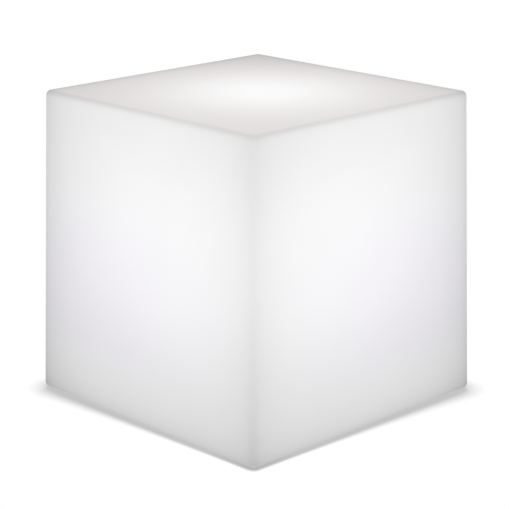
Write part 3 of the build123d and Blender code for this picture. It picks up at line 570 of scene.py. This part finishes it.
def cap_plate(x, along, half, lower, upper):
    """The cap's plate: at each distance along it, a rectangle from lower to upper, twice the half-width wide,
    with a quarter circle of the edge's radius at each corner."""
    edge = np.minimum(CAP_EDGE, half)[:, None]
    turn = np.linspace(0, 2 * np.pi, SECTION_COUNT, endpoint=False) + np.pi / SECTION_COUNT
    side, updown = np.sign(np.cos(turn)), np.sign(np.sin(turn))
    wide = x + side * (half[:, None] - edge) + edge * np.cos(turn)
    centre = ((upper + lower) / 2)[:, None]
    thick = ((upper - lower) / 2)[:, None]
    tall = centre + updown * (thick - edge) + edge * np.sin(turn)
    # The rings run along +Y, and each is walked so that its faces point outwards
    return np.stack([wide, np.broadcast_to(along[:, None], wide.shape), tall], axis=-1)[:, ::-1]


def charging_cap():
    """The cap, its strap, its pull tab and its anchor, which are one silicone moulding: a plate, with grip
    grooves of depth * sin(pi * distance / pitch)**2 under the tab, and the plug and the anchor's button as
    turned profiles."""
    low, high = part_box("charge_cap")
    anchor_low, anchor_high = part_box("cap_anchor")
    x = (low.x + high.x) / 2
    anchor_y = anchor_high.y - (anchor_high.x - anchor_low.x) / 2
    top = anchor_low.z + CAP_THICKNESS
    panel = anchor_low.z + ANCHOR_THICKNESS
    # Places along the plate, closer together at both ends, from the tab's tip to the anchor's far side
    share = (1 - np.cos(np.linspace(0, np.pi, ALONG_COUNT))) / 2
    along = low.y + (anchor_high.y - low.y) * share
    rise = np.clip((along - high.y) / ANCHOR_RISE, 0, 1)
    upper = top + (panel - top) * rise**2 * (3 - 2 * rise)
    grip = along - low.y - GRIP_START
    gripped = (grip > 0) & (grip < GRIP_COUNT * GRIP_PITCH)
    lower = anchor_low.z + np.where(gripped, np.sin(np.pi * grip / GRIP_PITCH) ** 2 * GRIP_DEPTH, 0)
    half = cap_outline(along, low, high, anchor_low, anchor_high)
    plate = cap_plate(x, along, half, lower, upper)
    plug = revolved([
        (PLUG_RADIUS + PLUG_FILLET, top - PLUG_FILLET), (PLUG_RADIUS, top + PLUG_FILLET * 2 / 3),
        (PLUG_RADIUS, high.z - PLUG_ROUND),
        (PLUG_RADIUS - PLUG_ROUND * 0.3, high.z - PLUG_ROUND * 0.3), (PLUG_RADIUS - PLUG_ROUND, high.z),
    ], x, 0.0, CAP_TURN_COUNT)
    head = panel + NECK_LENGTH
    button = revolved([
        (NECK_RADIUS, panel - NECK_TUCK), (NECK_RADIUS, head), (HEAD_RADIUS, head),
        (HEAD_RADIUS - HEAD_TAPER, anchor_high.z - HEAD_ROUND - HEAD_TAPER),
        (HEAD_RADIUS - HEAD_ROUND, anchor_high.z),
    ], x, anchor_y, CAP_TURN_COUNT)
    surfaces = [closed_rings(rings) for rings in (plate, plug, button)]
    piece = moulding("charging_cap", "silicone_grey", surfaces)
    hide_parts("charge_cap", "cap_anchor")
    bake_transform(piece)


# Floor, light and camera


def floor():
    """A white floor that is seen from above only and throws no light up. It shows white, darkened near the
    cube by how much of the sky the cube hides within the shadow's reach, which is short at the front and back
    corners and longer at the two side corners."""
    half = FLOOR_SIZE / 2
    mesh = bpy.data.meshes.new("studio_floor")
    corners = [(-half, -half, 0), (half, -half, 0), (half, half, 0), (-half, half, 0)]
    mesh.from_pydata(corners, [], [(0, 1, 2, 3)])
    ground = bpy.data.objects.new("studio_floor", mesh)
    bpy.context.scene.collection.objects.link(ground)
    material, tree = new_material("white_studio_floor")
    place = add(tree, "ShaderNodeSeparateXYZ", (add(tree, "ShaderNodeTexCoord"), "Object"))
    difference = add(tree, "ShaderNodeMath", (place, "X"), (place, "Y"), operation="SUBTRACT")
    aside = add(tree, "ShaderNodeMath", difference, operation="ABSOLUTE")
    square = add(tree, "ShaderNodeMath", aside, aside, operation="MULTIPLY")
    reach = add(tree, "ShaderNodeMapRange", square, 0.0, SIDE**2, SHADOW_NEAR, SHADOW_FAR)
    open_sky = add(tree, "ShaderNodeAmbientOcclusion", samples=16, Distance=reach)
    darkest = add(tree, "ShaderNodeMapRange", aside, 0.0, SHADOW_CORNER, DARKEST_AT_CORNER, DARKEST_AT_SIDE)
    shown = add(tree, "ShaderNodeMath", (open_sky, "AO"), darkest, operation="MAXIMUM")
    light = add(tree, "ShaderNodeEmission", Strength=shown)
    under = add(tree, "ShaderNodeBsdfTransparent")
    side = add(tree, "ShaderNodeNewGeometry")
    mix = add(tree, "ShaderNodeMixShader", (side, "Backfacing"), light, under)
    add(tree, "ShaderNodeOutputMaterial", mix)
    mesh.materials.append(material)
    ground.visible_diffuse = False
    ground.visible_shadow = False


def studio():
    """An even pale room that looks white, and one soft lamp above the front."""
    world = bpy.data.worlds.new("pale_room")
    bpy.context.scene.world = world
    world.use_nodes = True
    tree = world.node_tree
    tree.nodes.clear()
    path = add(tree, "ShaderNodeLightPath")
    seen = add(tree, "ShaderNodeMath", (path, "Is Camera Ray"), (path, "Is Glossy Ray"), operation="ADD")
    seen = add(tree, "ShaderNodeMath", seen, (path, "Is Transmission Ray"), operation="ADD", use_clamp=True)
    strength = add(tree, "ShaderNodeMapRange", seen, 0.0, 1.0, WORLD_STRENGTH, 1.0)
    room = add(tree, "ShaderNodeBackground", linear(WHITE), strength)
    add(tree, "ShaderNodeOutputWorld", room)
    light = bpy.data.lights.new("soft_lamp", "AREA")
    light.shape = "DISK"
    light.size = LAMP_SIZE
    light.energy = LAMP_POWER
    lamp = bpy.data.objects.new("soft_lamp", light)
    lamp.location = LAMP_PLACE
    aim = Vector((0, 0, MIDDLE)) - Vector(LAMP_PLACE)
    lamp.rotation_euler = aim.to_track_quat("-Z", "Y").to_euler()
    bpy.context.scene.collection.objects.link(lamp)


def camera():
    """The photograph's camera, placed and aimed in the cube's own sides."""
    azimuth = radians(CAMERA_AZIMUTH)
    heading = radians(CAMERA_AZIMUTH + CAMERA_PAN)
    pitch = radians(CAMERA_PITCH)
    lens = bpy.data.cameras.new("camera")
    lens.sensor_width = SENSOR_MM
    lens.lens = CAMERA_FOCUS_PX * SENSOR_MM / PHOTO_PX
    eye = bpy.data.objects.new("camera", lens)
    eye.location = (
        SIDE * CAMERA_DISTANCE * sin(azimuth),
        -SIDE * CAMERA_DISTANCE * cos(azimuth),
        SHELL_LOW.z + SIDE * CAMERA_HEIGHT,
    )
    look = Vector((-sin(heading) * cos(pitch), cos(heading) * cos(pitch), -sin(pitch)))
    eye.rotation_euler = look.to_track_quat("-Z", "Y").to_euler()
    bpy.context.scene.collection.objects.link(eye)
    bpy.context.scene.camera = eye


FINISHES = {"shell_polyethylene": lit_polyethylene(), **plastics(), **metals(), **soft_parts_and_boards()}
SLOT_OF = {part["node"]: part["material_slot"] for part in frame["record"]["subparts"]}
for name, node in frame["nodes"].items():
    node.data.materials.clear()
    node.data.materials.append(FINISHES[SLOT_OF[name]])

charging_cap()
button_membrane()
floor()
studio()
camera()
bpy.context.scene.view_settings.view_transform = "Standard"
